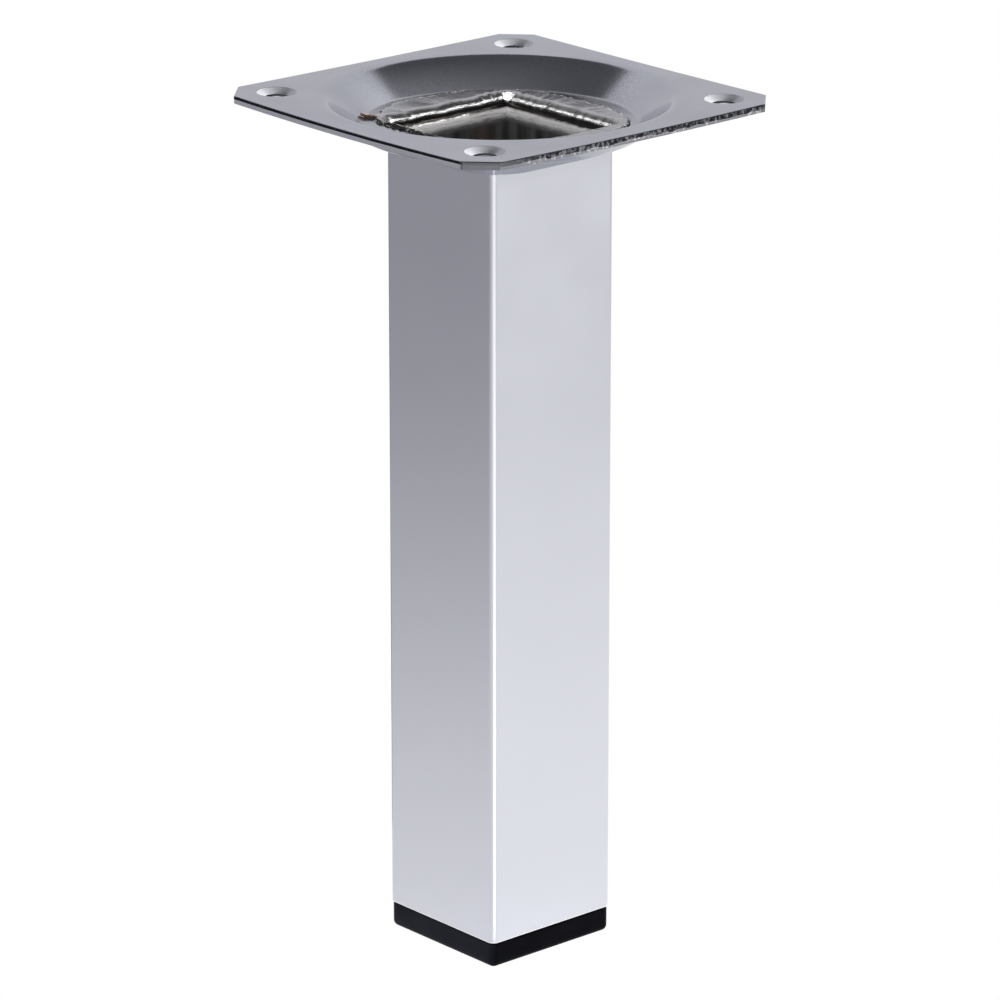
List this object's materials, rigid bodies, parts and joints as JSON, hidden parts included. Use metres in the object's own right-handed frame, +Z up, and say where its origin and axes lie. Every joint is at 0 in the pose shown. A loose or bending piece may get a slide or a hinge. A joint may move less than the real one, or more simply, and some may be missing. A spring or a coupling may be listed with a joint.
{
  "type": "height adjustable table leg",
  "caption": "Square furniture leg: steel tube flared into a dished screw-on mounting plate, with a black square foot that screws in and out to level it.",
  "frame": {"origin": "middle of the foot's sole, where the leg stands, with the foot screwed home", "axes": "+Z runs up the leg's axis to the mounting plate; X and Y are square to the tube's sides"},
  "size_m": [0.0736, 0.0736, 0.164],
  "materials": {
    "plate_steel": "satin nickel-grey plating over pressed sheet, dark sheared edges",
    "tube_lacquer": "smooth silver lacquer outside, bright bare steel at the flared mouth",
    "plug_nylon": "moulded nylon",
    "zinc_steel": "bright zinc plating",
    "foot_plastic": "fine moulded grain, black"
  },
  "bodies": {
    "leg": {"mounting_plate": "plate_steel", "leg_tube": "tube_lacquer", "tube_plug": "plug_nylon", "captive_nut": "zinc_steel"},
    "stud": {"levelling_stud": "zinc_steel"},
    "foot": {"foot_pad": "foot_plastic"}
  },
  "joints": [
    {"name": "foot_travel", "type": "slide", "parent": "leg", "child": "stud", "axis": [0, 0, -1], "range_m": [0, 0.015]},
    {"name": "foot_turn", "type": "hinge", "parent": "stud", "child": "foot", "pos_m": [0, 0, 0], "axis": [0, 0, -1], "range_deg": [0, 4320]}
  ],
  "couplings": [
    {"joint": "foot_travel", "follows": "foot_turn", "m_per_rad": 0.00019894}
  ]
}
